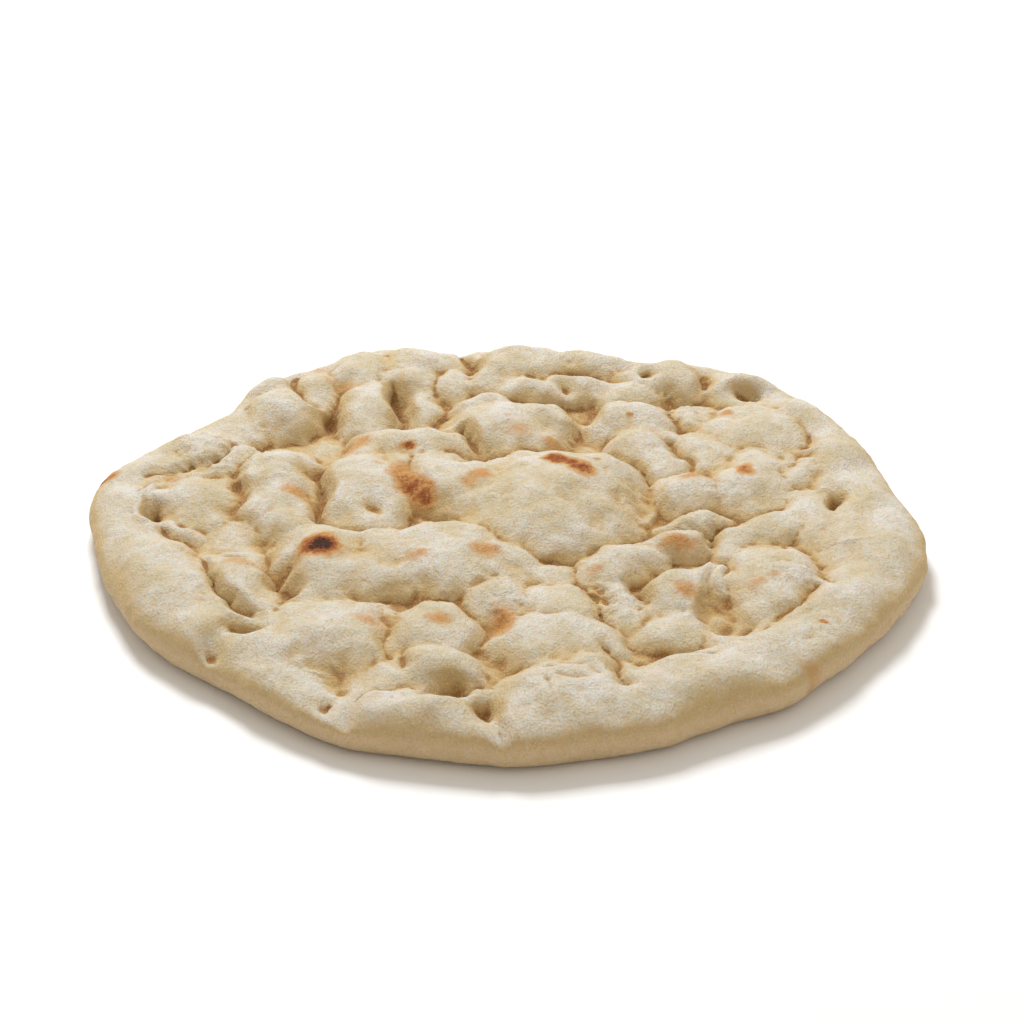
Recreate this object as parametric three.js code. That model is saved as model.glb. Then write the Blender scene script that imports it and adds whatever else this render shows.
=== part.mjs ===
// A pizza base: one uneven round of pale baked dough with a thick rim, a flat underside
// and a top that has risen into pillows, with creases and finger dimples between them.
// Sizes are in millimetres. +X is right, +Y is away from the front, +Z is up.

import * as THREE from 'three';

// ---- Driving dimensions -------------------------------------------------------------

// Plan radius every 10 degrees, counterclockwise from +X, where the edge is widest.
const OUTLINE = [
  147, 144, 147, 151, 156, 158, 157, 150, 150, 153, 152, 162,
  156, 154, 145, 146, 151, 155, 149, 145, 142, 141, 137, 136,
  139, 142, 141, 143, 142, 141, 139, 141, 140, 141, 144, 147,
];

const VALLEY_Z = 10.5;      // dough left where no bubble has risen
const RIM_Z = 17;           // the rim between its own pillows
const RIM_CREST = 15;       // from the outline in to the top of the rim
const RIM_INNER = 17;       // from there in to where the rim has run out
const WIDEST_Z = 8.5;       // height of the outline above the underside
const EDGE_ROUND = 14;      // how far in the edge has turned level at the top
const UNDER_ROUND = 9;      // how far in it meets the flat underside
const THINNEST = 3.5;       // dough left under the deepest dimple

const BUBBLE_FOOT_Z = 6.5;  // where each bubble's side would run out
const BUBBLE_POWER = 0.6;   // how full a bubble is: 0.5 is a half ellipse, 1 a flatter heap
const BUBBLE_SPREAD = 1.33; // the bubbles run into each other by this much
const BUBBLE_MEETING = 1.6; // softness of the crease where two of them meet
const DIMPLE_FALL = 1.1;    // how fast a dimple runs out past its half size
const DIMPLE_POWER = 1.7;
const CREASE_HALF_WIDTH = 3;
const CREASE_POWER = 1.5;

// Each bubble: x, y, half length, half width, turn in degrees, height of its top.
const BUBBLES = [
  // the great bubble in the middle and the chain that runs left from it
  [14, 14, 29, 36, -10, 26], [-14, 22, 20, 18, 0, 22.5], [-35, 56, 24, 15, 0, 22],
  [-51, 22, 18, 27, 0, 21], [-26, 29, 16, 19, 0, 22], [-86, 34, 16, 22, 0, 21],
  [-84, 14, 12, 16, 0, 19], [-80, 1, 10, 16, 5, 17], [-38, 40, 10, 12, 0, 20.5],
  // left
  [-113, 18, 17, 20, 0, 18], [-114, -8, 7, 6, 0, 14], [-98, 0, 15, 14, 0, 12.5],
  [-127, 14, 9, 14, 0, 17.5], [-94, -48, 15, 28, 8, 19.5],
  // front left
  [-64, -31, 18, 24, 0, 21], [-22, -29, 27, 24, -8, 22], [-44, -15, 12, 10, 0, 17.5],
  [-6, -57, 12, 17, 0, 18], [-44, -38, 14, 14, 0, 19], [-61, -84, 25, 26, 0, 19.5],
  [-25, -77, 14, 19, 0, 18.5], [-39, -105, 8, 9, 0, 17], [-65, -60, 9, 7, 0, 14.5],
  // front
  [-22, -100, 14, 12, 0, 18], [-29, -130, 20, 11, 0, 19.5], [17, -115, 21, 22, 0, 20.5],
  [16, -62, 13, 15, 0, 18], [18, -82, 20, 16, 0, 18.5], [13, -39, 12, 12, 0, 15.5],
  // front right
  [37, -33, 18, 12, 55, 18], [58, -49, 21, 11, 52, 18.5], [37, -57, 8, 13, 0, 16],
  [39, -70, 9, 12, 0, 14.5], [92, -46, 16, 26, -5, 18.5], [58, -18, 14, 8.5, 0, 19.5],
  [65, -4, 13, 9, 0, 17.5],
  // right
  [65, 22, 15, 13, 15, 19.5], [94, -5, 26, 9, 47, 17.5], [78, 22, 8, 14, 0, 18],
  [89, 31, 15, 23, 0, 19.5], [109, 4, 14, 22, 0, 17.5], [41, 82, 12, 14, 0, 20.5],
  [51, 81, 12, 15, 0, 20.5], [52, 62, 14, 17, 0, 19], [57, 47, 9, 14, 0, 17.5],
  [74, 58, 14, 18, 0, 17], [70, 86, 13, 12, 0, 16], [97, 72, 22, 24, 0, 20],
  [63, -113, 28, 17, 12, 19.5], [54, -79, 11, 11, 0, 16.5], [71, -83, 10, 10, 10, 15.5],
  [106, -60, 11, 19, -35, 18.5], [87, -86, 10, 15, -35, 18], [121, -14, 18, 25, 0, 17.5],
  // back
  [-9, 93, 14, 10, 10, 20], [6, 108, 15, 10, 0, 20], [27, 112, 16, 10, -5, 20],
  [45, 107, 15, 11, -15, 17.5], [-2, 71, 22, 21, 0, 22.5], [9, 80, 12, 13, -20, 21],
  [-35, 98, 8, 16, 0, 17], [-23, 114, 8, 17, 10, 19], [-42, 115, 16, 14, 0, 20],
  [-8, 118, 14, 12, 0, 20], [-87, 87, 16, 17, 0, 22], [-94, 107, 14, 12, 0, 21],
  [-76, 108, 9, 17, 0, 19.5], [-58, 122, 14, 21, 0, 22], [-54, 92, 13, 23, 0, 20],
  // the rim's own pillows, from the back left round by the right
  [-36, 129, 16, 14, 0, 22], [4, 131, 21, 15, 0, 23], [34, 130, 24, 13, -8, 21.5],
  [64, 119, 20, 14, -14, 21.5], [92, 108, 14, 14, 0, 22], [114, 84, 13, 18, 30, 20.5],
  [124, 50, 13, 20, 15, 20], [108, 40, 10, 14, 0, 17.5], [128, 15, 12, 20, 5, 19],
  [130, -22, 12, 22, -5, 19], [121, -58, 13, 22, -25, 19], [101, -92, 13, 20, -40, 19],
  [-102, -82, 18, 22, 40, 19.5], [-120, -46, 18, 30, 25, 20.5], [-140, 12, 11, 22, 8, 18],
  [-117, 53, 19, 18, 20, 20],
];

// Each dimple: x, y, half length, half width, turn in degrees, height of its bottom.
const DIMPLES = [
  // front and left
  [-17, -112, 7, 8, 0, 5.5], [-7.5, -123, 5.5, 8, 0, 6], [2, -106, 2.5, 3.5, 0, 18.5],
  [-57, -120, 3, 4, 0, 8], [-51, -131, 5, 8, 0, 11], [-54, -106, 13, 14, 0, 9],
  [-96, -91, 4.5, 7, 10, 11], [-86, -78, 6, 4, 10, 8], [-79, -41, 4, 12, -14, 6],
  [-127, 4, 4.5, 5, 20, 7.5], [-99.5, 25, 2, 5, 5, 12], [-46, -35, 3, 9, 5, 18],
  [-48, 4, 6, 9, 25, 15],
  // back
  [-69, 85, 3.5, 8, 8, 7], [-68, 102, 2, 8, -5, 15], [-44, 96, 3.5, 11, 8, 6],
  [-26, 98, 2.5, 5, 0, 12], [-14.5, 127, 3.5, 7, 0, 13], [22, 107, 4, 5, 0, 13.5],
  [30, 87, 4.5, 14, 0, 9], [54, 117, 3, 4, 0, 15.5], [77.5, 113, 3, 9, -28, 11.5],
  [74, 79, 4, 4, 0, 14.5], [94, 102, 9, 6, -5, 11.5],
  // right and middle
  [118, 15, 2.5, 9, -5, 6], [118, 18, 7, 12, 0, 15], [96, -19, 1.5, 3, 0, 13],
  [71, -16, 3, 5, -20, 10], [50, 9, 6, 22, -8, 12], [71, -60, 6.5, 18, 3, 9.5],
  [72, -71, 4, 5, 0, 8], [44, -53, 2.5, 7, 0, 9.5], [106, 42, 6, 7, 0, 15.5],
  [118, -64, 3, 7, 0, 17.5], [97, -86, 3, 8, -30, 17],
];

// Each crease: height of its bottom, then the points of its path.
const CREASES = [
  // left and front left
  [9, [-87, -12], [-83, -28], [-79, -42], [-74, -52]],
  [12.5, [-107.5, -24], [-103.5, -37], [-99.5, -51], [-96, -58], [-92, -64], [-86, -68]],
  [11, [-122, -8], [-117, -12], [-103, -23], [-93, -27]],
  [10, [-69, 40], [-68, 20], [-69, 0]], [14, [-99, 24], [-97, 14]],
  [15, [-133, 32], [-121, 35], [-112, 37.5], [-107, 45], [-104, 56], [-98, 62]],
  [12, [-42.5, -58], [-39.5, -74], [-38.5, -93]], [13, [-34.5, -91], [-34, -100]],
  // front
  [13, [-49, -116], [-45.5, -104], [-43, -94]],
  [12.5, [-48, -120], [-43, -114], [-34, -112], [-25, -111]], [13, [-16, -118], [-11, -119]],
  [12, [-4, -132], [-2, -144]], [12, [32, -90], [35, -107], [37, -113]],
  [14, [45, -94], [58, -91], [66, -94]], [16.5, [45, -124], [46, -142]],
  [12.5, [29.5, -50], [31.5, -55.5], [33.5, -60]],
  // right
  [13.5, [105, -28], [109, -36], [108, -46]],
  [13.5, [84, -76], [93, -66], [100, -56], [104, -49]], [15, [114, 65], [110, 55]],
  [14.5, [109, 50], [104, 40]],
  // back and middle
  [13, [61, 60], [66, 50], [66, 36]], [12, [-20, 145], [-16, 132]],
  [14, [-86, 117], [-84, 106], [-77, 92]], [18, [-36, 42], [-37, 24], [-30, 12]],
  [13, [-18, 70], [-15, 62], [-9.5, 48]],
];

// The plan is stirred by long and short waves, so that no bubble stays a plain ellipse,
// and the top carries low lumps: wavelength and size of each.
const STIR = [[44, 2.6], [15, 1.2]];
const LUMPS = [[19, 0.5]];
const LUMPS_SEED = 6;

// How finely the surface is divided.
const TOP_RINGS = 36;       // rings from the middle to the edge, each with 6 more points
const EDGE_STEPS = 8;       // steps from the top round the edge to the underside
const UNDER_POINTS = [99, 49, 20];

const CRUST = { color: 0xe3d5b4, roughness: 0.9, metalness: 0 };

// ---- Form ---------------------------------------------------------------------------

const GOLDEN_ANGLE = Math.PI * (3 - Math.sqrt(5));
const CROSSING_WAVES = 5;

/** Uneven waves over the plan, about -1 to 1: a few sine waves that cross each other. */
function waves(x, y, wavelength, seed) {
  let sum = 0;
  for (let n = 0; n < CROSSING_WAVES; n += 1) {
    const turn = seed * 1.7 + n * GOLDEN_ANGLE;
    const k = (2 * Math.PI) / (wavelength * (0.75 + 0.13 * n));
    sum += Math.sin(k * (x * Math.cos(turn) + y * Math.sin(turn)) + seed * 5.1 + n * n * 1.3);
  }
  return sum / 3.2;
}

/** The plan radius of the outline at an angle: a smooth closed curve through OUTLINE. */
function outlineRadius(angle) {
  const count = OUTLINE.length;
  const place = (((angle / (2 * Math.PI)) * count) % count + count) % count;
  const first = Math.floor(place);
  const t = place - first;
  const [a, b, c, d] = [-1, 0, 1, 2].map((step) => OUTLINE[(first + step + count) % count]);
  return 0.5 * (2 * b + (c - a) * t + (2 * a - 5 * b + 4 * c - d) * t * t
    + (3 * b - a - 3 * c + d) * t * t * t);
}

/** A plan point moved by the stir. */
function stirred(x, y) {
  let moved = [x, y];
  STIR.forEach(([wavelength, size], n) => {
    moved = [
      moved[0] + size * waves(x, y, wavelength, 1 + n),
      moved[1] + size * waves(x, y, wavelength, 3 + n),
    ];
  });
  return moved;
}

/** The larger of two heights, with the corner between them rounded over k. */
function softMax(a, b, k) {
  const share = THREE.MathUtils.clamp(0.5 + (0.5 * (a - b)) / k, 0, 1);
  return b + (a - b) * share + k * share * (1 - share);
}

/** A height pressed down towards a bottom by a share from 0 to 1. */
function pressed(z, bottom, share) {
  return z - Math.max(z - bottom, 0) * share;
}

/** A bubble or dimple with its stirred centre and its turn worked out once. */
function preparedOval([x, y, halfLength, halfWidth, turn, height]) {
  const [cx, cy] = stirred(x, y);
  const angle = THREE.MathUtils.degToRad(turn);
  return { cx, cy, halfLength, halfWidth, cos: Math.cos(angle), sin: Math.sin(angle), height };
}

/** Distance from the middle of a bubble or dimple, 1 at its half size. */
function reach(x, y, oval) {
  const dx = x - oval.cx;
  const dy = y - oval.cy;
  return Math.hypot(
    (dx * oval.cos + dy * oval.sin) / oval.halfLength,
    (dy * oval.cos - dx * oval.sin) / oval.halfWidth,
  );
}

/** Distance from a plan point to the nearest point of a path. */
function pathDistance(x, y, path) {
  let nearest = Infinity;
  for (let k = 0; k + 1 < path.length; k += 1) {
    const [ax, ay] = path[k];
    const dx = path[k + 1][0] - ax;
    const dy = path[k + 1][1] - ay;
    const along = ((x - ax) * dx + (y - ay) * dy) / (dx * dx + dy * dy);
    const share = THREE.MathUtils.clamp(along, 0, 1);
    nearest = Math.min(nearest, Math.hypot(x - ax - share * dx, y - ay - share * dy));
  }
  return nearest;
}

const bubbles = BUBBLES.map(preparedOval);
const dimples = DIMPLES.map(preparedOval);
const creases = CREASES.map(([height, ...path]) => (
  { height, path: path.map(([x, y]) => stirred(x, y)) }
));

/** Height of the top of the dough over a plan point. */
function topHeight(x, y) {
  const inset = outlineRadius(Math.atan2(y, x)) - Math.hypot(x, y);
  const [sx, sy] = stirred(x, y);
  const across = THREE.MathUtils.clamp((inset - RIM_CREST) / RIM_INNER, 0, 1);
  let z = VALLEY_Z + (RIM_Z - VALLEY_Z) * Math.sqrt(1 - across * across);
  for (const bubble of bubbles) {
    const r = reach(sx, sy, bubble) / BUBBLE_SPREAD;
    if (r < 1) {
      const fullness = (1 - r * r) ** BUBBLE_POWER;
      const dome = BUBBLE_FOOT_Z + (bubble.height - BUBBLE_FOOT_Z) * fullness;
      z = softMax(z, dome, BUBBLE_MEETING);
    }
  }
  for (const [wavelength, size] of LUMPS) {
    z += size * waves(x, y, wavelength, LUMPS_SEED);
  }
  for (const dimple of dimples) {
    const share = Math.exp(-DIMPLE_FALL * reach(sx, sy, dimple) ** DIMPLE_POWER);
    z = pressed(z, dimple.height, share);
  }
  for (const crease of creases) {
    const away = pathDistance(sx, sy, crease.path) / CREASE_HALF_WIDTH;
    z = pressed(z, crease.height, Math.exp(-(away ** CREASE_POWER)));
  }
  return Math.max(z, THINNEST);
}

// ---- Surface ------------------------------------------------------------------------

/** One closed ring of count points: radius(angle) in plan and height(x, y). */
function ring(count, radius, height) {
  const points = [];
  for (let i = 0; i < count; i += 1) {
    const angle = (2 * Math.PI * i) / count;
    const r = radius(angle);
    const x = r * Math.cos(angle);
    const y = r * Math.sin(angle);
    points.push([x, y, height(x, y)]);
  }
  return points;
}

/** All rings, from the middle of the top, over the edge, to the middle of the underside. */
function doughRings() {
  const rings = [[[0, 0, topHeight(0, 0)]]];
  for (let k = 1; k <= TOP_RINGS; k += 1) {
    const share = k / TOP_RINGS;
    rings.push(ring(6 * k, (a) => (outlineRadius(a) - EDGE_ROUND) * share, topHeight));
  }
  const full = 6 * TOP_RINGS;
  for (let k = 1; k <= EDGE_STEPS; k += 1) {
    const slope = Math.PI / 2 - (Math.PI * k) / EDGE_STEPS;
    const under = slope < 0;
    const roundOff = (under ? UNDER_ROUND : EDGE_ROUND) * (1 - Math.cos(slope));
    rings.push(ring(
      full,
      (a) => outlineRadius(a) - roundOff,
      (x, y) => WIDEST_Z + ((under ? 2 * WIDEST_Z : topHeight(x, y)) - WIDEST_Z) * Math.sin(slope),
    ));
  }
  UNDER_POINTS.forEach((count, k) => {
    const share = 1 - (k + 1) / (UNDER_POINTS.length + 1);
    rings.push(ring(count, (a) => (outlineRadius(a) - UNDER_ROUND) * share, () => 0));
  });
  rings.push([[0, 0, 0]]);
  return rings;
}

/** Triangles between two neighbouring rings, which may have different counts of points. */
function joinRings(inner, outer, innerStart, outerStart) {
  const faces = [];
  let i = 0;
  let j = 0;
  const innerSides = inner.length > 1 ? inner.length : 0;
  const outerSides = outer.length > 1 ? outer.length : 0;
  while (i < innerSides || j < outerSides) {
    const a = innerStart + (i % inner.length);
    const b = outerStart + (j % outer.length);
    const outerNext = i >= innerSides
      || (j < outerSides && (j + 1) * innerSides <= (i + 1) * outerSides);
    if (outerNext) {
      faces.push(a, b, outerStart + ((j + 1) % outer.length));
      j += 1;
    } else {
      faces.push(a, b, innerStart + ((i + 1) % inner.length));
      i += 1;
    }
  }
  return faces;
}

function doughGeometry() {
  const rings = doughRings();
  const faces = [];
  let start = 0;
  for (let k = 0; k + 1 < rings.length; k += 1) {
    const next = start + rings[k].length;
    faces.push(...joinRings(rings[k], rings[k + 1], start, next));
    start = next;
  }
  const geometry = new THREE.BufferGeometry();
  geometry.setAttribute('position', new THREE.Float32BufferAttribute(rings.flat(2), 3));
  geometry.setIndex(faces);
  geometry.computeBoundingBox();
  const middle = geometry.boundingBox.getCenter(new THREE.Vector3());
  geometry.translate(-middle.x, -middle.y, 0);
  geometry.computeVertexNormals();
  return geometry;
}

// ---- Object -------------------------------------------------------------------------

const dough = new THREE.Mesh(doughGeometry(), new THREE.MeshStandardMaterial(CRUST));
dough.name = 'pizza_base';

const pizzaBase = new THREE.Group();
pizzaBase.add(dough);

export default pizzaBase;
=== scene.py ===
"""Looks of a pale baked pizza base: its fine dough surface, colours, light and camera.

The dough is worked out in millimetres, and only the finished mesh is in metres.
+X is right, +Y is away from the front, +Z is up.
"""

import math

import bpy
import numpy as np
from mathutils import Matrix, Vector, noise


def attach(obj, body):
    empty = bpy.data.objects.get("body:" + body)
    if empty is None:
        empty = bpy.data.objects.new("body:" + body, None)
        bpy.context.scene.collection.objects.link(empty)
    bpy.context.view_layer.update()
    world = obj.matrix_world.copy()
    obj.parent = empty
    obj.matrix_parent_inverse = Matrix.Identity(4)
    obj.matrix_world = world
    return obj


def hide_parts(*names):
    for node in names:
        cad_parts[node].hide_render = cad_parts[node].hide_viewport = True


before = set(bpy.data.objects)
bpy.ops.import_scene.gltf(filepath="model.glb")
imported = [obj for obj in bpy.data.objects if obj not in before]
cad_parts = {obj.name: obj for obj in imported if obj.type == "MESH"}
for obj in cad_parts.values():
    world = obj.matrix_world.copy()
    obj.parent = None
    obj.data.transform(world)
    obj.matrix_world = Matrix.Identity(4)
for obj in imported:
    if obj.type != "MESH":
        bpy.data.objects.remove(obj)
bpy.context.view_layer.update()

# ---- Driving dimensions of the dough, in mm ------------------------------------------

# Plan radius every 10 degrees, counterclockwise from +X, where the edge is widest.
OUTLINE = [
    147, 144, 147, 151, 156, 158, 157, 150, 150, 153, 152, 162,
    156, 154, 145, 146, 151, 155, 149, 145, 142, 141, 137, 136,
    139, 142, 141, 143, 142, 141, 139, 141, 140, 141, 144, 147,
]

VALLEY_Z = 10.5        # dough left where no bubble has risen
RIM_Z = 17             # the rim between its own pillows
RIM_CREST = 15         # from the outline in to the top of the rim
RIM_INNER = 17         # from there in to where the rim has run out
WIDEST_Z = 8.5         # height of the outline above the underside
EDGE_ROUND = 14        # how far in the edge has turned level at the top
UNDER_ROUND = 9        # how far in it meets the flat underside
THINNEST = 3.5         # dough left under the deepest dimple

BUBBLE_FOOT_Z = 6.5    # where each bubble's side would run out
BUBBLE_POWER = 0.6     # how full a bubble is: 0.5 is a half ellipse, 1 a flatter heap
BUBBLE_SPREAD = 1.33   # the bubbles run into each other by this much
BUBBLE_MEETING = 1.6   # softness of the crease where two of them meet
DIMPLE_FALL = 1.1      # how fast a dimple runs out past its half size
DIMPLE_POWER = 1.7
CREASE_HALF_WIDTH = 2.2  # 3 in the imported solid, whose triangles are larger
CREASE_POWER = 1.5
FOLD_HALF_WIDTH = 1.3
CRACK_HALF_WIDTH = 1.3

# Each bubble: x, y, half length, half width, turn in degrees, height of its top.
BUBBLES = [
    # the great bubble in the middle and the chain that runs left from it
    (14, 14, 29, 36, -10, 26), (-14, 22, 20, 18, 0, 22.5), (-35, 56, 24, 15, 0, 22),
    (-51, 22, 18, 27, 0, 21), (-26, 29, 16, 19, 0, 22), (-86, 34, 16, 22, 0, 21),
    (-84, 14, 12, 16, 0, 19), (-80, 1, 10, 16, 5, 17), (-38, 40, 10, 12, 0, 20.5),
    # left
    (-113, 18, 17, 20, 0, 18), (-114, -8, 7, 6, 0, 14), (-98, 0, 15, 14, 0, 12.5),
    (-127, 14, 9, 14, 0, 17.5), (-94, -48, 15, 28, 8, 19.5),
    # front left
    (-64, -31, 18, 24, 0, 21), (-22, -29, 27, 24, -8, 22), (-44, -15, 12, 10, 0, 17.5),
    (-6, -57, 12, 17, 0, 18), (-44, -38, 14, 14, 0, 19), (-61, -84, 25, 26, 0, 19.5),
    (-25, -77, 14, 19, 0, 18.5), (-39, -105, 8, 9, 0, 17), (-65, -60, 9, 7, 0, 14.5),
    # front
    (-22, -100, 14, 12, 0, 18), (-29, -130, 20, 11, 0, 19.5), (17, -115, 21, 22, 0, 20.5),
    (16, -62, 13, 15, 0, 18), (18, -82, 20, 16, 0, 18.5), (13, -39, 12, 12, 0, 15.5),
    # front right
    (37, -33, 18, 12, 55, 18), (58, -49, 21, 11, 52, 18.5), (37, -57, 8, 13, 0, 16),
    (39, -70, 9, 12, 0, 14.5), (92, -46, 16, 26, -5, 18.5), (58, -18, 14, 8.5, 0, 19.5),
    (65, -4, 13, 9, 0, 17.5),
    # right
    (65, 22, 15, 13, 15, 19.5), (94, -5, 26, 9, 47, 17.5), (78, 22, 8, 14, 0, 18),
    (89, 31, 15, 23, 0, 19.5), (109, 4, 14, 22, 0, 17.5), (41, 82, 12, 14, 0, 20.5),
    (51, 81, 12, 15, 0, 20.5), (52, 62, 14, 17, 0, 19), (57, 47, 9, 14, 0, 17.5),
    (74, 58, 14, 18, 0, 17), (70, 86, 13, 12, 0, 16), (97, 72, 22, 24, 0, 20),
    (63, -113, 28, 17, 12, 19.5), (54, -79, 11, 11, 0, 16.5), (71, -83, 10, 10, 10, 15.5),
    (106, -60, 11, 19, -35, 18.5), (87, -86, 10, 15, -35, 18), (121, -14, 18, 25, 0, 17.5),
    # back
    (-9, 93, 14, 10, 10, 20), (6, 108, 15, 10, 0, 20), (27, 112, 16, 10, -5, 20),
    (45, 107, 15, 11, -15, 17.5), (-2, 71, 22, 21, 0, 22.5), (9, 80, 12, 13, -20, 21),
    (-35, 98, 8, 16, 0, 17), (-23, 114, 8, 17, 10, 19), (-42, 115, 16, 14, 0, 20),
    (-8, 118, 14, 12, 0, 20), (-87, 87, 16, 17, 0, 22), (-94, 107, 14, 12, 0, 21),
    (-76, 108, 9, 17, 0, 19.5), (-58, 122, 14, 21, 0, 22), (-54, 92, 13, 23, 0, 20),
    # the rim's own pillows, from the back left round by the right
    (-36, 129, 16, 14, 0, 22), (4, 131, 21, 15, 0, 23), (34, 130, 24, 13, -8, 21.5),
    (64, 119, 20, 14, -14, 21.5), (92, 108, 14, 14, 0, 22), (114, 84, 13, 18, 30, 20.5),
    (124, 50, 13, 20, 15, 20), (108, 40, 10, 14, 0, 17.5), (128, 15, 12, 20, 5, 19),
    (130, -22, 12, 22, -5, 19), (121, -58, 13, 22, -25, 19), (101, -92, 13, 20, -40, 19),
    (-102, -82, 18, 22, 40, 19.5), (-120, -46, 18, 30, 25, 20.5), (-140, 12, 11, 22, 8, 18),
    (-117, 53, 19, 18, 20, 20),
]

# Each dimple: x, y, half length, half width, turn in degrees, height of its bottom.
DIMPLES = [
    # front and left
    (-17, -112, 7, 8, 0, 5.5), (-7.5, -123, 5.5, 8, 0, 6), (2, -106, 2.5, 3.5, 0, 18.5),
    (-57, -120, 3, 4, 0, 8), (-51, -131, 5, 8, 0, 11), (-54, -106, 13, 14, 0, 9),
    (-96, -91, 4.5, 7, 10, 11), (-86, -78, 6, 4, 10, 8), (-79, -41, 4, 12, -14, 6),
    (-127, 4, 4.5, 5, 20, 7.5), (-99.5, 25, 2, 5, 5, 12), (-46, -35, 3, 9, 5, 18),
    (-48, 4, 6, 9, 25, 15),
    # back
    (-69, 85, 3.5, 8, 8, 7), (-68, 102, 2, 8, -5, 15), (-44, 96, 3.5, 11, 8, 6),
    (-26, 98, 2.5, 5, 0, 12), (-14.5, 127, 3.5, 7, 0, 13), (22, 107, 4, 5, 0, 13.5),
    (30, 87, 4.5, 14, 0, 9), (54, 117, 3, 4, 0, 15.5), (77.5, 113, 3, 9, -28, 11.5),
    (74, 79, 4, 4, 0, 14.5), (94, 102, 9, 6, -5, 11.5),
    # right and middle
    (118, 15, 2.5, 9, -5, 6), (118, 18, 7, 12, 0, 15), (96, -19, 1.5, 3, 0, 13),
    (71, -16, 3, 5, -20, 10), (50, 9, 6, 22, -8, 12), (71, -60, 6.5, 18, 3, 9.5),
    (72, -71, 4, 5, 0, 8), (44, -53, 2.5, 7, 0, 9.5), (106, 42, 6, 7, 0, 15.5),
    (118, -64, 3, 7, 0, 17.5), (97, -86, 3, 8, -30, 17),
]

# Each crease: height of its bottom, then the points of its path.
CREASES = [
    # left and front left
    (9, (-87, -12), (-83, -28), (-79, -42), (-74, -52)),
    (12.5, (-107.5, -24), (-103.5, -37), (-99.5, -51), (-96, -58), (-92, -64), (-86, -68)),
    (11, (-122, -8), (-117, -12), (-103, -23), (-93, -27)),
    (10, (-69, 40), (-68, 20), (-69, 0)), (14, (-99, 24), (-97, 14)),
    (15, (-133, 32), (-121, 35), (-112, 37.5), (-107, 45), (-104, 56), (-98, 62)),
    (12, (-42.5, -58), (-39.5, -74), (-38.5, -93)), (13, (-34.5, -91), (-34, -100)),
    # front
    (13, (-49, -116), (-45.5, -104), (-43, -94)),
    (12.5, (-48, -120), (-43, -114), (-34, -112), (-25, -111)), (13, (-16, -118), (-11, -119)),
    (12, (-4, -132), (-2, -144)), (12, (32, -90), (35, -107), (37, -113)),
    (14, (45, -94), (58, -91), (66, -94)), (16.5, (45, -124), (46, -142)),
    (12.5, (29.5, -50), (31.5, -55.5), (33.5, -60)),
    # right
    (13.5, (105, -28), (109, -36), (108, -46)),
    (13.5, (84, -76), (93, -66), (100, -56), (104, -49)), (15, (114, 65), (110, 55)),
    (14.5, (109, 50), (104, 40)),
    # back and middle
    (13, (61, 60), (66, 50), (66, 36)), (12, (-20, 145), (-16, 132)),
    (14, (-86, 117), (-84, 106), (-77, 92)), (18, (-36, 42), (-37, 24), (-30, 12)),
    (13, (-18, 70), (-15, 62), (-9.5, 48)),
]

# Each crack in the skin: its depth, then the points of its path.
CRACKS = [
    (0.9, (12, -107), (17, -104), (21, -106), (25, -105), (28, -111)),
    (0.7, (15, -113), (21, -115), (26, -114)), (0.6, (12, -117), (13, -122)),
    (0.4, (5, -118), (7, -121)),
]

# Each fold: height of its thin ridge over the dough, then the points of its path.
FOLDS = [
    (1.8, (-129, 23.5), (-132.5, 14), (-132, 2), (-128.5, -5.5)),
    (1.2, (73.5, -33), (72.5, -51)), (1.2, (69, -32), (64.5, -51), (60, -68)),
    (0.9, (101, -18), (110, -21), (125, -21)), (0.7, (-103, 94), (-94.5, 97), (-88, 99)),
    (0.7, (-5.5, 4), (-5, -11), (-4, -30)), (0.6, (-32, 6), (-29.5, -2), (-28, -10)),
]

# The plan is stirred by long and short waves, so that no bubble stays a plain ellipse,
# and the top carries low lumps: wavelength and size of each.
STIR = [(44, 2.6), (15, 1.2)]
STIR_SEEDS = (1, 3)    # of the first wave, in x and in y
LUMPS = [(19, 0.5)]
LUMPS_SEED = 6

# The skin's own relief, along the surface's normal: size across, height.
SKIN_LUMPS = [(26, 0.7), (12, 0.6), (6, 0.42), (3, 0.2)]
SKIN_SHIFT = (13.7, 7.3, 3.1)  # how far each next seed moves the noise
SKIN_STARTS_Z = 0.2    # the skin is flat under this height
SKIN_FULL_Z = 3        # and has its full relief over this one

# Wrinkles come in patches and where the dough is hollow, crinkles only where they are named.
WRINKLE_SIZE = 7
WRINKLE_HEIGHT = 0.55
WRINKLE_SEED = 9
PATCH_SIZE = 30
PATCH_SEED = 11
PATCH_RANGE = (0, 0.6)         # from the first wrinkles to the full ones
PATCH_PER_HOLLOW = 2   # how much each mm of hollow adds to a patch
CRINKLE_SIZE = 4
CRINKLE_HEIGHT = 0.8
CRINKLE_SEED = 15
CRINKLE_FADE = (1.3, 0.5)      # of an oval's half size, from no crinkles to the full ones
RIDGE_POWER = 3        # how sharp the ridges of wrinkles and crinkles are

# Where the skin is crinkled: x, y, half length, half width, turn in degrees.
CRINKLED = [
    (-115, 51, 14, 16, 20), (35, -60, 11, 15, 0), (-2, -62, 8, 12, 0),
    (66, 88, 10, 12, 0), (64, -8, 12, 12, 0), (-95, 52, 10, 12, 0), (96, -40, 10, 12, 0),
]

# How finely the surface is divided.
TOP_RINGS = 150        # rings from the middle to the edge
RING_GROWTH = 6        # how many points more each of them has
EDGE_STEPS = 22        # steps from the top round the edge to the underside
UNDER_POINTS = (450, 150, 50)  # in each ring of the underside, from the edge inwards

# How often a point is averaged with its neighbours, to find how far it lies in a hollow or
# in a crease and which way the dough faces.
RELIEF_ROUNDS = 60     # for the hollows that wrinkle
CREASE_ROUNDS = 8
HOLLOW_ROUNDS = 90
FACING_ROUNDS = 6

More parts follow.
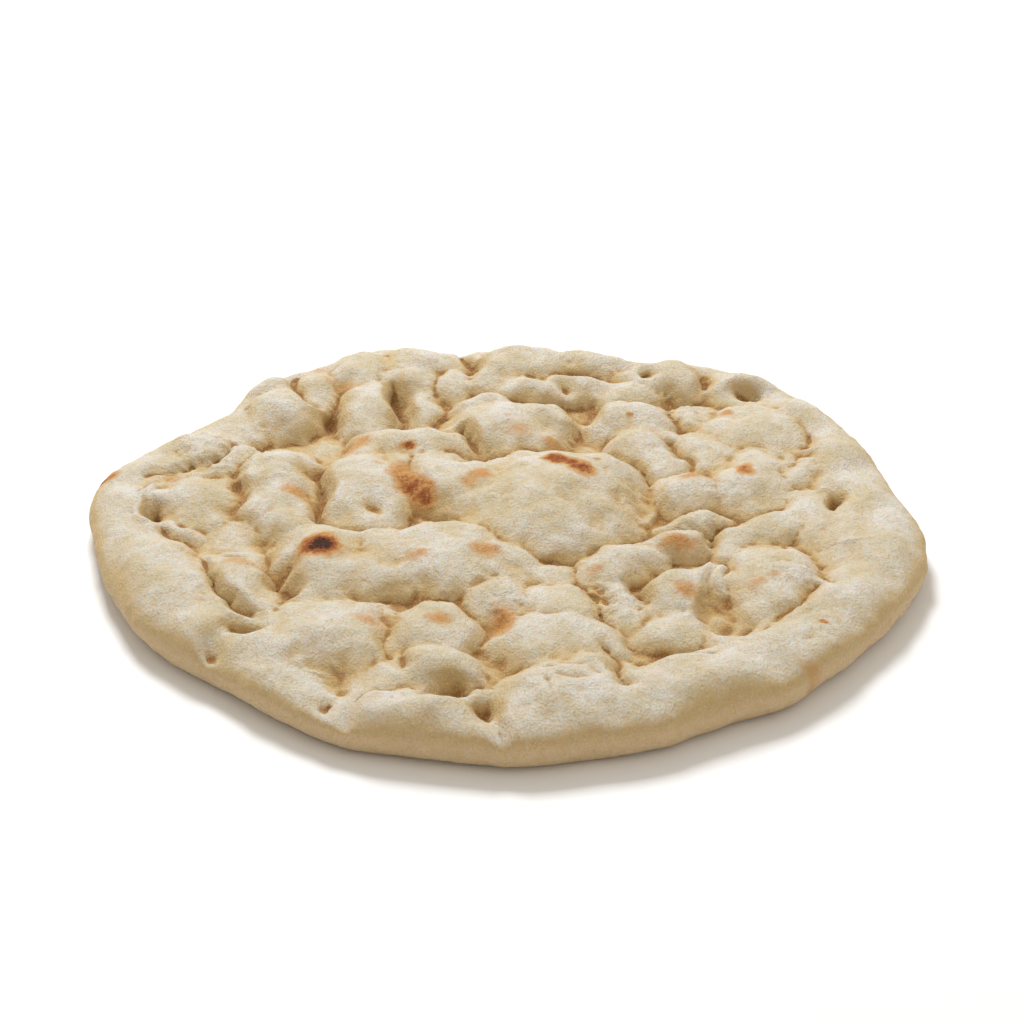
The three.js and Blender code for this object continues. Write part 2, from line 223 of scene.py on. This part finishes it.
# ---- Colours -------------------------------------------------------------------------

CREAM = (0.60, 0.535, 0.385)
FLOUR = (0.71, 0.70, 0.675)
# TAN is the crust's own browner tan, and also the colour of painted shade.
TAN = (0.60, 0.43, 0.195)
WALL = (0.68, 0.505, 0.30)
# Dark brown of the painted shade in pits and creases.
PIT_SHADE = (0.32, 0.14, 0.027)
TOAST = (0.57, 0.30, 0.105)
BROWN = (0.30, 0.085, 0.02)
CHAR = (0.045, 0.014, 0.006)

# Noise over the crust: how many lumps in a metre, octaves and roughness.
NOISES = {
    "clouds": (60, 5, 0.6),
    "patches": (130, 5, 0.65),
    "lumps": (260, 6, 0.65),
    "grain": (1300, 3, 0.65),
    "marbling": (45, 6, 0.7),
    "speckle": (650, 4, 0.7),
}
NOISE_STRETCH = (1, 0.75, 1)   # the lumps are longer from front to back

# The tints, each laid over the ones before it: what guides it, where it starts and where it
# is full, how strong it gets there, and its colour. A slope is about 1 where the dough faces
# up, and less where it is steep. Hollows and creases are in mm.
TINTS = [
    ("clouds", 0.3, 0.7, 1, FLOUR),
    # Partly painted shade: steep sides are browner crust, and they are also painted darker and
    # warmer for the shade they lie in.
    ("slope", 1.12, 0.73, 0.9, TAN),
    ("slope", 0.8, 0.2, 1, WALL),
    # Painted shade: hollows, pits and creases are painted tan and dark brown where shade falls
    # in them.
    ("hollow", -0.5, 1.3, 1, TAN),
    ("hollow", 0.55, 2.5, 1, PIT_SHADE),
    ("crease", 0.08, 0.55, 1, PIT_SHADE),
    # Partly painted shade: the low parts of the bump's lumps and grain are painted tan, with
    # some of the crust's own mottling.
    ("lumps", 0.52, 0.36, 0.3, TAN),
    ("grain", 0.5, 0.34, 0.6, TAN),
    ("grain", 0.52, 0.72, 0.4, FLOUR),
    ("marbling", 0.42, 0.66, 0.5, TOAST),
    ("toast", 0.05, 0.5, 1, TOAST),
    ("toast", 0.42, 0.8, 1, BROWN),
    ("toast", 0.85, 1.15, 1, CHAR),
]
SLOPE_UNEVENNESS = 0.25        # how far the patches shift the tints of a slope
UNDERSIDE = (-0.5, -0.95)      # facing down this far, the marbling starts and is full
SPECKLE_CONTRAST = 1.5         # of the speckle in the toasted spots
SPECKLE_LEAST = 0.3

CRUST = {
    "Roughness": 0.85,
    "Specular IOR Level": 0.25,
    "Subsurface Weight": 0.25,
    "Subsurface Radius": (0.003, 0.0015, 0.0007),
    "Subsurface Scale": 1,
}
BUMPS = [("lumps", 0.0015), ("grain", 0.0009)]  # which noise, and its depth in metres

# Each toasted spot: x, y, half length, half width, turn in degrees, how dark (1 is charred).
SPOTS = [
    (-65, -30, 8, 9, 0, 1.2), (17, 29, 6, 5, 0, 0.85), (22, 27, 5, 5, 0, 0.85),
    (26, 22, 5, 8, 0, 0.85), (-40, 29, 6, 9, 0, 0.5), (-38, 24, 6, 7, 0, 0.62),
    (-35, 19, 7, 7, -20, 0.74), (-31, 14, 6, 6, 0, 0.68), (-38, 49, 4, 2, 0, 0.8),
    (-57, 60, 7, 9, 0, 0.4), (-10, 22, 6, 5, 0, 0.45), (-15, 17, 5, 5, 0, 0.38),
    (18, 59, 9, 5, 0, 0.38), (4, 62, 7, 6, 0, 0.3), (54, 65, 6, 6, 0, 0.25),
    (86.5, 30, 3.5, 7, 0, 0.62), (67.5, 26, 8, 4, 0, 0.45), (84, 84, 3.5, 3.5, 0, 0.45),
    (58.5, -22, 9, 4.5, 0, 0.43), (59.5, -55.5, 5.5, 6, 0, 0.43), (29, -40, 6, 5, 0, 0.3),
    (-8, -33, 7, 6, 0, 0.42), (-31, -37, 6, 4, 0, 0.38), (17, -26, 4, 4, 0, 0.2),
    (-2, -72, 6, 9, 0, 0.48), (-23, -76, 6, 6, 0, 0.4), (-47, -74, 7, 6, 0, 0.33),
    (-93, -36, 8, 7, 0, 0.35), (-78, 17, 6, 7, 0, 0.42), (-150, 33, 7, 6, 0, 0.75),
    (-76, 125, 5, 5, 0, 0.3), (-72, 111, 5, 5, 0, 0.25), (-65, 107, 5, 4, 0, 0.3),
    (96, -100, 5, 4, 0, 0.28), (102, -77, 1.6, 1.6, 0, 0.9), (84, -50, 5, 5, 0, 0.3),
    (89, -48, 4, 4, 0, 0.26), (95, -29, 4, 4, 0, 0.2), (-92, -106, 3, 3, 0, 0.3),
    (46, 78, 1.5, 1.5, 0, 0.6), (32, 33, 1.5, 1.5, 0, 0.5), (-123, 30, 5, 4, 0, 0.3),
    (-48, 35, 3, 3, 0, 0.3),
]
SPOT_FADE = (1.45, 0.1)        # of a spot's half size, from pale to its full darkness
SPOT_WARP = [(7, 1.6), (3, 1.1)]  # size and shift of the noise that frays the spots
SPOT_SEEDS = (21, 22)          # for the shift in x and in y

# ---- Form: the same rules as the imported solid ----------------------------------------

MM_IN_A_METRE = 1000
GOLDEN_ANGLE = math.pi * (3 - math.sqrt(5))
CROSSING_WAVES = 5
SHORTEST_WAVE = 0.75   # of the wavelength that is asked for
WAVE_STEP = 0.13       # how much more of it each next wave has
TURN_PER_SEED = 1.7
PHASE_PER_SEED = 5.1
PHASE_PER_WAVE = 1.3
WAVES_TOGETHER = 3.2   # brings their sum to about -1 to 1


def waves(x, y, wavelength, seed):
    """Uneven waves over the plan, about -1 to 1: a few sine waves that cross each other."""
    total = 0
    for n in range(CROSSING_WAVES):
        turn = seed * TURN_PER_SEED + n * GOLDEN_ANGLE
        k = 2 * math.pi / (wavelength * (SHORTEST_WAVE + WAVE_STEP * n))
        along = x * math.cos(turn) + y * math.sin(turn)
        total = total + np.sin(k * along + seed * PHASE_PER_SEED + n * n * PHASE_PER_WAVE)
    return total / WAVES_TOGETHER


def outline_radius(angle):
    """The plan radius of the outline at an angle: a smooth closed curve through OUTLINE."""
    radii = np.array(OUTLINE, float)
    along = angle / (2 * np.pi) * len(radii) % len(radii)
    first = np.floor(along).astype(int)
    t = along - first
    a, b, c, d = (radii[(first + step) % len(radii)] for step in (-1, 0, 1, 2))
    return 0.5 * (2 * b + (c - a) * t + (2 * a - 5 * b + 4 * c - d) * t ** 2
                  + (3 * b - a - 3 * c + d) * t ** 3)


def stirred(x, y):
    """Plan points moved by the stir."""
    sx, sy = x, y
    for n, (wavelength, size) in enumerate(STIR):
        sx = sx + size * waves(x, y, wavelength, STIR_SEEDS[0] + n)
        sy = sy + size * waves(x, y, wavelength, STIR_SEEDS[1] + n)
    return sx, sy


def soft_max(a, b, k):
    """The larger of two heights, with the corner between them rounded over k."""
    share = np.clip(0.5 + 0.5 * (a - b) / k, 0, 1)
    return b + (a - b) * share + k * share * (1 - share)


def pressed(z, bottom, share):
    """A height pressed down towards a bottom by a share from 0 to 1."""
    return z - np.maximum(z - bottom, 0) * share


def oval_distance(dx, dy, half_length, half_width, turn):
    """Distance from the middle of an oval, 1 at its half size."""
    cos, sin = math.cos(math.radians(turn)), math.sin(math.radians(turn))
    return np.hypot((dx * cos + dy * sin) / half_length, (dy * cos - dx * sin) / half_width)


def reach(sx, sy, oval):
    """Distance of stirred points from the middle of an oval of the plan, 1 at its half size."""
    x, y, half_length, half_width, turn = oval[:5]
    cx, cy = stirred(float(x), float(y))
    return oval_distance(sx - cx, sy - cy, half_length, half_width, turn)


def path_distance(sx, sy, path):
    """Distance from plan points to the nearest point of a path."""
    points = [stirred(float(x), float(y)) for x, y in path]
    nearest = np.full(np.shape(sx), np.inf)
    for (ax, ay), (bx, by) in zip(points, points[1:]):
        dx, dy = bx - ax, by - ay
        share = np.clip(((sx - ax) * dx + (sy - ay) * dy) / (dx * dx + dy * dy), 0, 1)
        nearest = np.minimum(nearest, np.hypot(sx - ax - share * dx, sy - ay - share * dy))
    return nearest


def top_height(x, y):
    """Height of the top of the dough over plan points."""
    inset = outline_radius(np.arctan2(y, x)) - np.hypot(x, y)
    sx, sy = stirred(x, y)
    across = np.clip((inset - RIM_CREST) / RIM_INNER, 0, 1)
    z = VALLEY_Z + (RIM_Z - VALLEY_Z) * np.sqrt(1 - across ** 2)
    for bubble in BUBBLES:
        r = reach(sx, sy, bubble) / BUBBLE_SPREAD
        fullness = np.clip(1 - r * r, 0, 1) ** BUBBLE_POWER
        dome = BUBBLE_FOOT_Z + (bubble[5] - BUBBLE_FOOT_Z) * fullness
        z = np.where(r < 1, soft_max(z, dome, BUBBLE_MEETING), z)
    for wavelength, size in LUMPS:
        z = z + size * waves(x, y, wavelength, LUMPS_SEED)
    for dimple in DIMPLES:
        share = np.exp(-DIMPLE_FALL * reach(sx, sy, dimple) ** DIMPLE_POWER)
        z = pressed(z, dimple[5], share)
    for bottom, *path in CREASES:
        away = path_distance(sx, sy, path) / CREASE_HALF_WIDTH
        z = pressed(z, bottom, np.exp(-away ** CREASE_POWER))
    for depth, *path in CRACKS:
        z = z - depth * np.exp(-(path_distance(sx, sy, path) / CRACK_HALF_WIDTH) ** 2)
    for rise, *path in FOLDS:
        z = z + rise * np.exp(-(path_distance(sx, sy, path) / FOLD_HALF_WIDTH) ** 2)
    return np.maximum(z, THINNEST)


# ---- Surface -------------------------------------------------------------------------


def ring(count, radius, height):
    """One closed ring of count points: radius(angle) in plan and height(x, y)."""
    angle = np.arange(count) * 2 * np.pi / count
    r = radius(angle)
    x, y = r * np.cos(angle), r * np.sin(angle)
    return np.stack([x, y, height(x, y)], axis=1)


def dough_rings():
    """All rings, from the middle of the top, over the edge, to the middle of the underside."""
    rings = [ring(1, lambda a: 0 * a, top_height)]
    for k in range(1, TOP_RINGS + 1):
        share = k / TOP_RINGS
        rings.append(ring(RING_GROWTH * k, lambda a: (outline_radius(a) - EDGE_ROUND) * share,
                          top_height))
    for k in range(1, EDGE_STEPS + 1):
        slope = math.pi / 2 - math.pi * k / EDGE_STEPS
        under = slope < 0
        round_off = (UNDER_ROUND if under else EDGE_ROUND) * (1 - math.cos(slope))

        def height(x, y):
            top = np.full_like(x, 2 * WIDEST_Z) if under else top_height(x, y)
            return WIDEST_Z + (top - WIDEST_Z) * math.sin(slope)

        rings.append(ring(RING_GROWTH * TOP_RINGS, lambda a: outline_radius(a) - round_off,
                          height))
    for k, count in enumerate(UNDER_POINTS):
        share = 1 - (k + 1) / (len(UNDER_POINTS) + 1)
        rings.append(ring(count, lambda a: (outline_radius(a) - UNDER_ROUND) * share,
                          lambda x, y: 0 * x))
    rings.append(np.zeros((1, 3)))
    return rings


def join_rings(inner, outer, inner_start, outer_start):
    """Triangles between two neighbouring rings, which may have different counts of points."""
    faces = []
    i = j = 0
    inner_sides = inner if inner > 1 else 0
    outer_sides = outer if outer > 1 else 0
    while i < inner_sides or j < outer_sides:
        a = inner_start + i % inner
        b = outer_start + j % outer
        outer_next = i >= inner_sides or (
            j < outer_sides and (j + 1) * inner_sides <= (i + 1) * outer_sides)
        if outer_next:
            faces.append((a, b, outer_start + (j + 1) % outer))
            j += 1
        else:
            faces.append((a, b, inner_start + (i + 1) % inner))
            i += 1
    return faces


def dough_surface():
    """Points and triangles of the closed surface."""
    rings = dough_rings()
    faces = []
    start = 0
    for here, beyond in zip(rings, rings[1:]):
        faces += join_rings(len(here), len(beyond), start, start + len(here))
        start += len(here)
    return np.concatenate(rings), np.array(faces)


def point_normals(points, faces):
    """Outward unit normal at every point."""
    a, b, c = (points[faces[:, n]] for n in range(3))
    across = np.cross(b - a, c - a)
    normals = np.zeros_like(points)
    for n in range(3):
        for axis in range(3):
            normals[:, axis] += np.bincount(faces[:, n], across[:, axis], len(points))
    return normals / np.linalg.norm(normals, axis=1, keepdims=True)


def smoothed(values, faces, rounds):
    """Values at the points, averaged with their neighbours a number of times."""
    one = np.concatenate([faces[:, 0], faces[:, 1], faces[:, 2]])
    other = np.concatenate([faces[:, 1], faces[:, 2], faces[:, 0]])
    count = np.bincount(one, minlength=len(values))
    for _ in range(rounds):
        near = [np.bincount(one, column[other], len(values)) / count for column in values.T]
        values = 0.5 * values + 0.5 * np.stack(near, axis=1)
    return values


def skin_noise(points, size, seed):
    """Smooth noise over the points, about -1 to 1, with lumps of a size across."""
    shift = Vector([seed * step for step in SKIN_SHIFT])
    return np.array([noise.noise(Vector(p) / size + shift) for p in points])


def skin_ridges(points, size, seed):
    """Narrow ridges over the points, of height 1, with lumps of a size between them."""
    return (1 - 2 * np.abs(skin_noise(points, size, seed))) ** RIDGE_POWER


def step_between(values, start, full):
    """0 at start, 1 at full and smooth between, whichever of the two is the larger."""
    t = np.clip((values - start) / (full - start), 0, 1)
    return t * t * (3 - 2 * t)


def skin_relief(points, hollow):
    """Height of the skin's own relief over the smooth dough: lumps, wrinkles and crinkles."""
    relief = np.zeros(len(points))
    for seed, (size, height) in enumerate(SKIN_LUMPS, start=1):
        relief += height * skin_noise(points, size, seed)
    patches = skin_noise(points, PATCH_SIZE, PATCH_SEED) + PATCH_PER_HOLLOW * hollow
    wrinkles = skin_ridges(points, WRINKLE_SIZE, WRINKLE_SEED)
    relief += WRINKLE_HEIGHT * wrinkles * step_between(patches, *PATCH_RANGE)
    sx, sy = stirred(points[:, 0], points[:, 1])
    away = np.min([reach(sx, sy, oval) for oval in CRINKLED], axis=0)
    crinkles = skin_ridges(points, CRINKLE_SIZE, CRINKLE_SEED)
    relief += CRINKLE_HEIGHT * crinkles * step_between(away, *CRINKLE_FADE)
    return relief * step_between(points[:, 2], SKIN_STARTS_Z, SKIN_FULL_Z)


def hollowness(points, faces, rounds):
    """How far each point lies below its smoothed surroundings, in mm."""
    around = smoothed(points, faces, rounds)
    return ((around - points) * point_normals(points, faces)).sum(axis=1)


def toasting(points):
    """How far each point is toasted: 0 is pale, 1 is charred. No spot is on the underside."""
    toast = np.zeros(len(points))
    warp = [sum(shift * skin_noise(points, size, seed) for size, shift in SPOT_WARP)
            for seed in SPOT_SEEDS]
    for x, y, half_length, half_width, turn, darkness in SPOTS:
        dx, dy = points[:, 0] + warp[0] - x, points[:, 1] + warp[1] - y
        away = oval_distance(dx, dy, half_length, half_width, turn)
        toast = np.maximum(toast, darkness * step_between(away, *SPOT_FADE))
    return toast * (points[:, 2] > SKIN_FULL_Z)


def place(name, data):
    """Puts a mesh, light or camera into the scene."""
    item = bpy.data.objects.new(name, data)
    bpy.context.scene.collection.objects.link(item)
    return item


def dough_object():
    """The finished dough: one closed mesh with what its colours need at every point.

    Returns the object and the middle of the dough's box before it was centred, in mm.
    """
    points, faces = dough_surface()
    relief = skin_relief(points, hollowness(points, faces, RELIEF_ROUNDS))
    points = points + relief[:, None] * point_normals(points, faces)
    middle = (points.min(axis=0) + points.max(axis=0)) / 2
    centred = points - (middle[0], middle[1], 0)
    mesh = bpy.data.meshes.new("dough")
    mesh.from_pydata((centred / MM_IN_A_METRE).tolist(), [], faces.tolist())
    mesh.polygons.foreach_set("use_smooth", [True] * len(mesh.polygons))
    # The hollows, creases and facing found here guide the painted shade in the crust's colour.
    layers = {
        "crease": hollowness(points, faces, CREASE_ROUNDS),
        "hollow": hollowness(points, faces, HOLLOW_ROUNDS),
        "upward": point_normals(smoothed(points, faces, FACING_ROUNDS), faces)[:, 2],
        "toast": toasting(points),
    }
    for name, values in layers.items():
        layer = mesh.attributes.new(name, "FLOAT", "POINT")
        layer.data.foreach_set("value", values.astype(np.float32))
    return place("dough", mesh), middle


# ---- Materials -----------------------------------------------------------------------


class Nodes:
    """Makes and links the nodes of one material."""

    def __init__(self, name):
        self.material = bpy.data.materials.new(name)
        self.material.use_nodes = True
        self.tree = self.material.node_tree
        self.shader = self.tree.nodes["Principled BSDF"]

    def add(self, kind, settings=(), **inputs):
        """A node with its settings and its inputs, each a number, a colour or a socket."""
        node = self.tree.nodes.new(kind)
        for key, value in dict(settings).items():
            setattr(node, key, value)
        for key, value in inputs.items():
            self.put(node.inputs[key.replace("_", " ")], value)
        return node

    def put(self, socket, value):
        """Links a socket to an input, or sets the input to a number or colour."""
        if isinstance(value, bpy.types.NodeSocket):
            self.tree.links.new(value, socket)
        elif isinstance(value, tuple) and len(value) == 3 and socket.type == "RGBA":
            socket.default_value = (*value, 1)
        else:
            socket.default_value = value

    def attribute(self, name):
        """A value that the mesh holds at every point."""
        return self.add("ShaderNodeAttribute", {"attribute_name": name}).outputs["Fac"]

    def noise(self, scale, detail, roughness):
        """Noise over the object's own coordinates, with so many lumps in a metre."""
        spot = self.add("ShaderNodeTexCoord").outputs["Object"]
        spot = self.add("ShaderNodeMapping", Vector=spot, Scale=NOISE_STRETCH).outputs[0]
        node = self.add("ShaderNodeTexNoise", Vector=spot, Scale=scale, Detail=detail,
                        Roughness=roughness)
        return node.outputs["Fac"]

    def between(self, value, start, full):
        """0 at start, 1 at full and smooth between, whichever of the two is the larger."""
        node = self.add("ShaderNodeMapRange", {"interpolation_type": "SMOOTHSTEP"},
                        Value=value, From_Min=start, From_Max=full)
        return node.outputs["Result"]

    def math(self, operation, a, b):
        """The sum or product of two values."""
        node = self.add("ShaderNodeMath", {"operation": operation})
        self.put(node.inputs[0], a)
        self.put(node.inputs[1], b)
        return node.outputs[0]

    def mix(self, share, a, b):
        """Colour a, turned by a share from 0 to 1 into colour b."""
        node = self.add("ShaderNodeMix", {"data_type": "RGBA"})
        # The sockets have the same names for numbers and for colours, so these go by place.
        self.put(node.inputs[0], share)
        self.put(node.inputs[6], a)
        self.put(node.inputs[7], b)
        return node.outputs[2]


def crust_material():
    """Cream dough, browner where it is toasted, with painted shade on its slopes, in its
    hollows and creases and in the low parts of its bump; the slopes are partly browner crust
    too.
    """
    n = Nodes("crust")
    guides = {name: n.attribute(name) for name in ("hollow", "crease", "upward", "toast")}
    guides |= {name: n.noise(*settings) for name, settings in NOISES.items()}
    unevenness = n.math("MULTIPLY", guides["patches"], SLOPE_UNEVENNESS)
    guides["slope"] = n.math("ADD", guides["upward"], unevenness)
    speckle = n.math("MULTIPLY", guides["speckle"], SPECKLE_CONTRAST)
    speckled = n.math("ADD", speckle, SPECKLE_LEAST)
    guides["toast"] = n.math("MULTIPLY", guides["toast"], speckled)
    colour = CREAM
    for name, start, full, strength, tint in TINTS:
        share = n.between(guides[name], start, full)
        if name == "marbling":
            share = n.math("MULTIPLY", share, n.between(guides["upward"], *UNDERSIDE))
        colour = n.mix(n.math("MULTIPLY", share, strength), colour, tint)
    n.put(n.shader.inputs["Base Color"], colour)
    for name, value in CRUST.items():
        n.shader.inputs[name].default_value = value
    for name, depth in BUMPS:
        bump = n.add("ShaderNodeBump", Height=guides[name], Strength=1, Distance=depth)
        below = n.shader.inputs["Normal"].links
        if below:
            n.put(bump.inputs["Normal"], below[0].from_socket)
        n.put(n.shader.inputs["Normal"], bump.outputs["Normal"])
    return n.material


def floor_material():
    n = Nodes("floor")
    n.shader.inputs["Base Color"].default_value = FLOOR_COLOUR
    n.shader.inputs["Roughness"].default_value = FLOOR_ROUGHNESS
    return n.material


# ---- Stage ---------------------------------------------------------------------------

# In metres.
FLOOR_HALF = 3
FLOOR_GAP = 0.0002             # keeps the underside and the floor apart
FLOOR_COLOUR = (0.87, 0.89, 0.93, 1)
FLOOR_ROUGHNESS = 0.9

# The camera of the photograph, in metres and degrees, before the dough is centred.
LENS = 85
SENSOR = 36
ELEVATION = 27.5
DISTANCE = 0.875
TARGET = (0.001, 0.014, 0.010)
NEAREST = 0.01

# Each soft light, aimed at the origin: where it is, its size in metres, its power in watts
# and its colour.
LIGHTS = {
    "key": ((-0.3, 1.2, 1.5), 0.6, 35, (1, 1, 1)),
    "fill": ((0.5, -0.9, 0.9), 1.2, 2.2, (1, 0.91, 0.79)),
}
WORLD_COLOUR = (1, 0.925, 0.8, 1)
WORLD_STRENGTH = 0.58


def make_floor():
    mesh = bpy.data.meshes.new("floor")
    corners = [(-1, -1), (1, -1), (1, 1), (-1, 1)]
    mesh.from_pydata([(x * FLOOR_HALF, y * FLOOR_HALF, -FLOOR_GAP) for x, y in corners],
                     [], [(0, 1, 2, 3)])
    mesh.materials.append(floor_material())
    return place("floor", mesh)


def make_light(name, spot, size, power, colour):
    """A square soft light at a spot, aimed at the origin."""
    light = bpy.data.lights.new(name, "AREA")
    light.size = size
    light.energy = power
    light.color = colour
    item = place(name, light)
    item.location = spot
    item.rotation_euler = Vector(spot).to_track_quat("Z", "Y").to_euler()


def make_camera(middle):
    camera = bpy.data.cameras.new("camera")
    camera.lens = LENS
    camera.sensor_width = SENSOR
    camera.clip_start = NEAREST
    item = place("camera", camera)
    rise = math.radians(ELEVATION)
    back = Vector((0, -math.cos(rise), math.sin(rise)))
    target = Vector(TARGET) - Vector((middle[0], middle[1], 0)) / MM_IN_A_METRE
    item.location = target + DISTANCE * back
    item.rotation_euler = (math.pi / 2 - rise, 0, 0)
    bpy.context.scene.camera = item


def make_world():
    world = bpy.data.worlds.new("studio")
    world.use_nodes = True
    background = world.node_tree.nodes["Background"]
    background.inputs["Color"].default_value = WORLD_COLOUR
    background.inputs["Strength"].default_value = WORLD_STRENGTH
    bpy.context.scene.world = world


# ---- The scene -----------------------------------------------------------------------

dough, middle = dough_object()
dough.data.materials.append(crust_material())
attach(dough, "root")
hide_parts("pizza_base")

make_camera(middle)
make_world()
for name, settings in LIGHTS.items():
    make_light(name, *settings)
make_floor()
bpy.context.scene.view_settings.view_transform = "Standard"
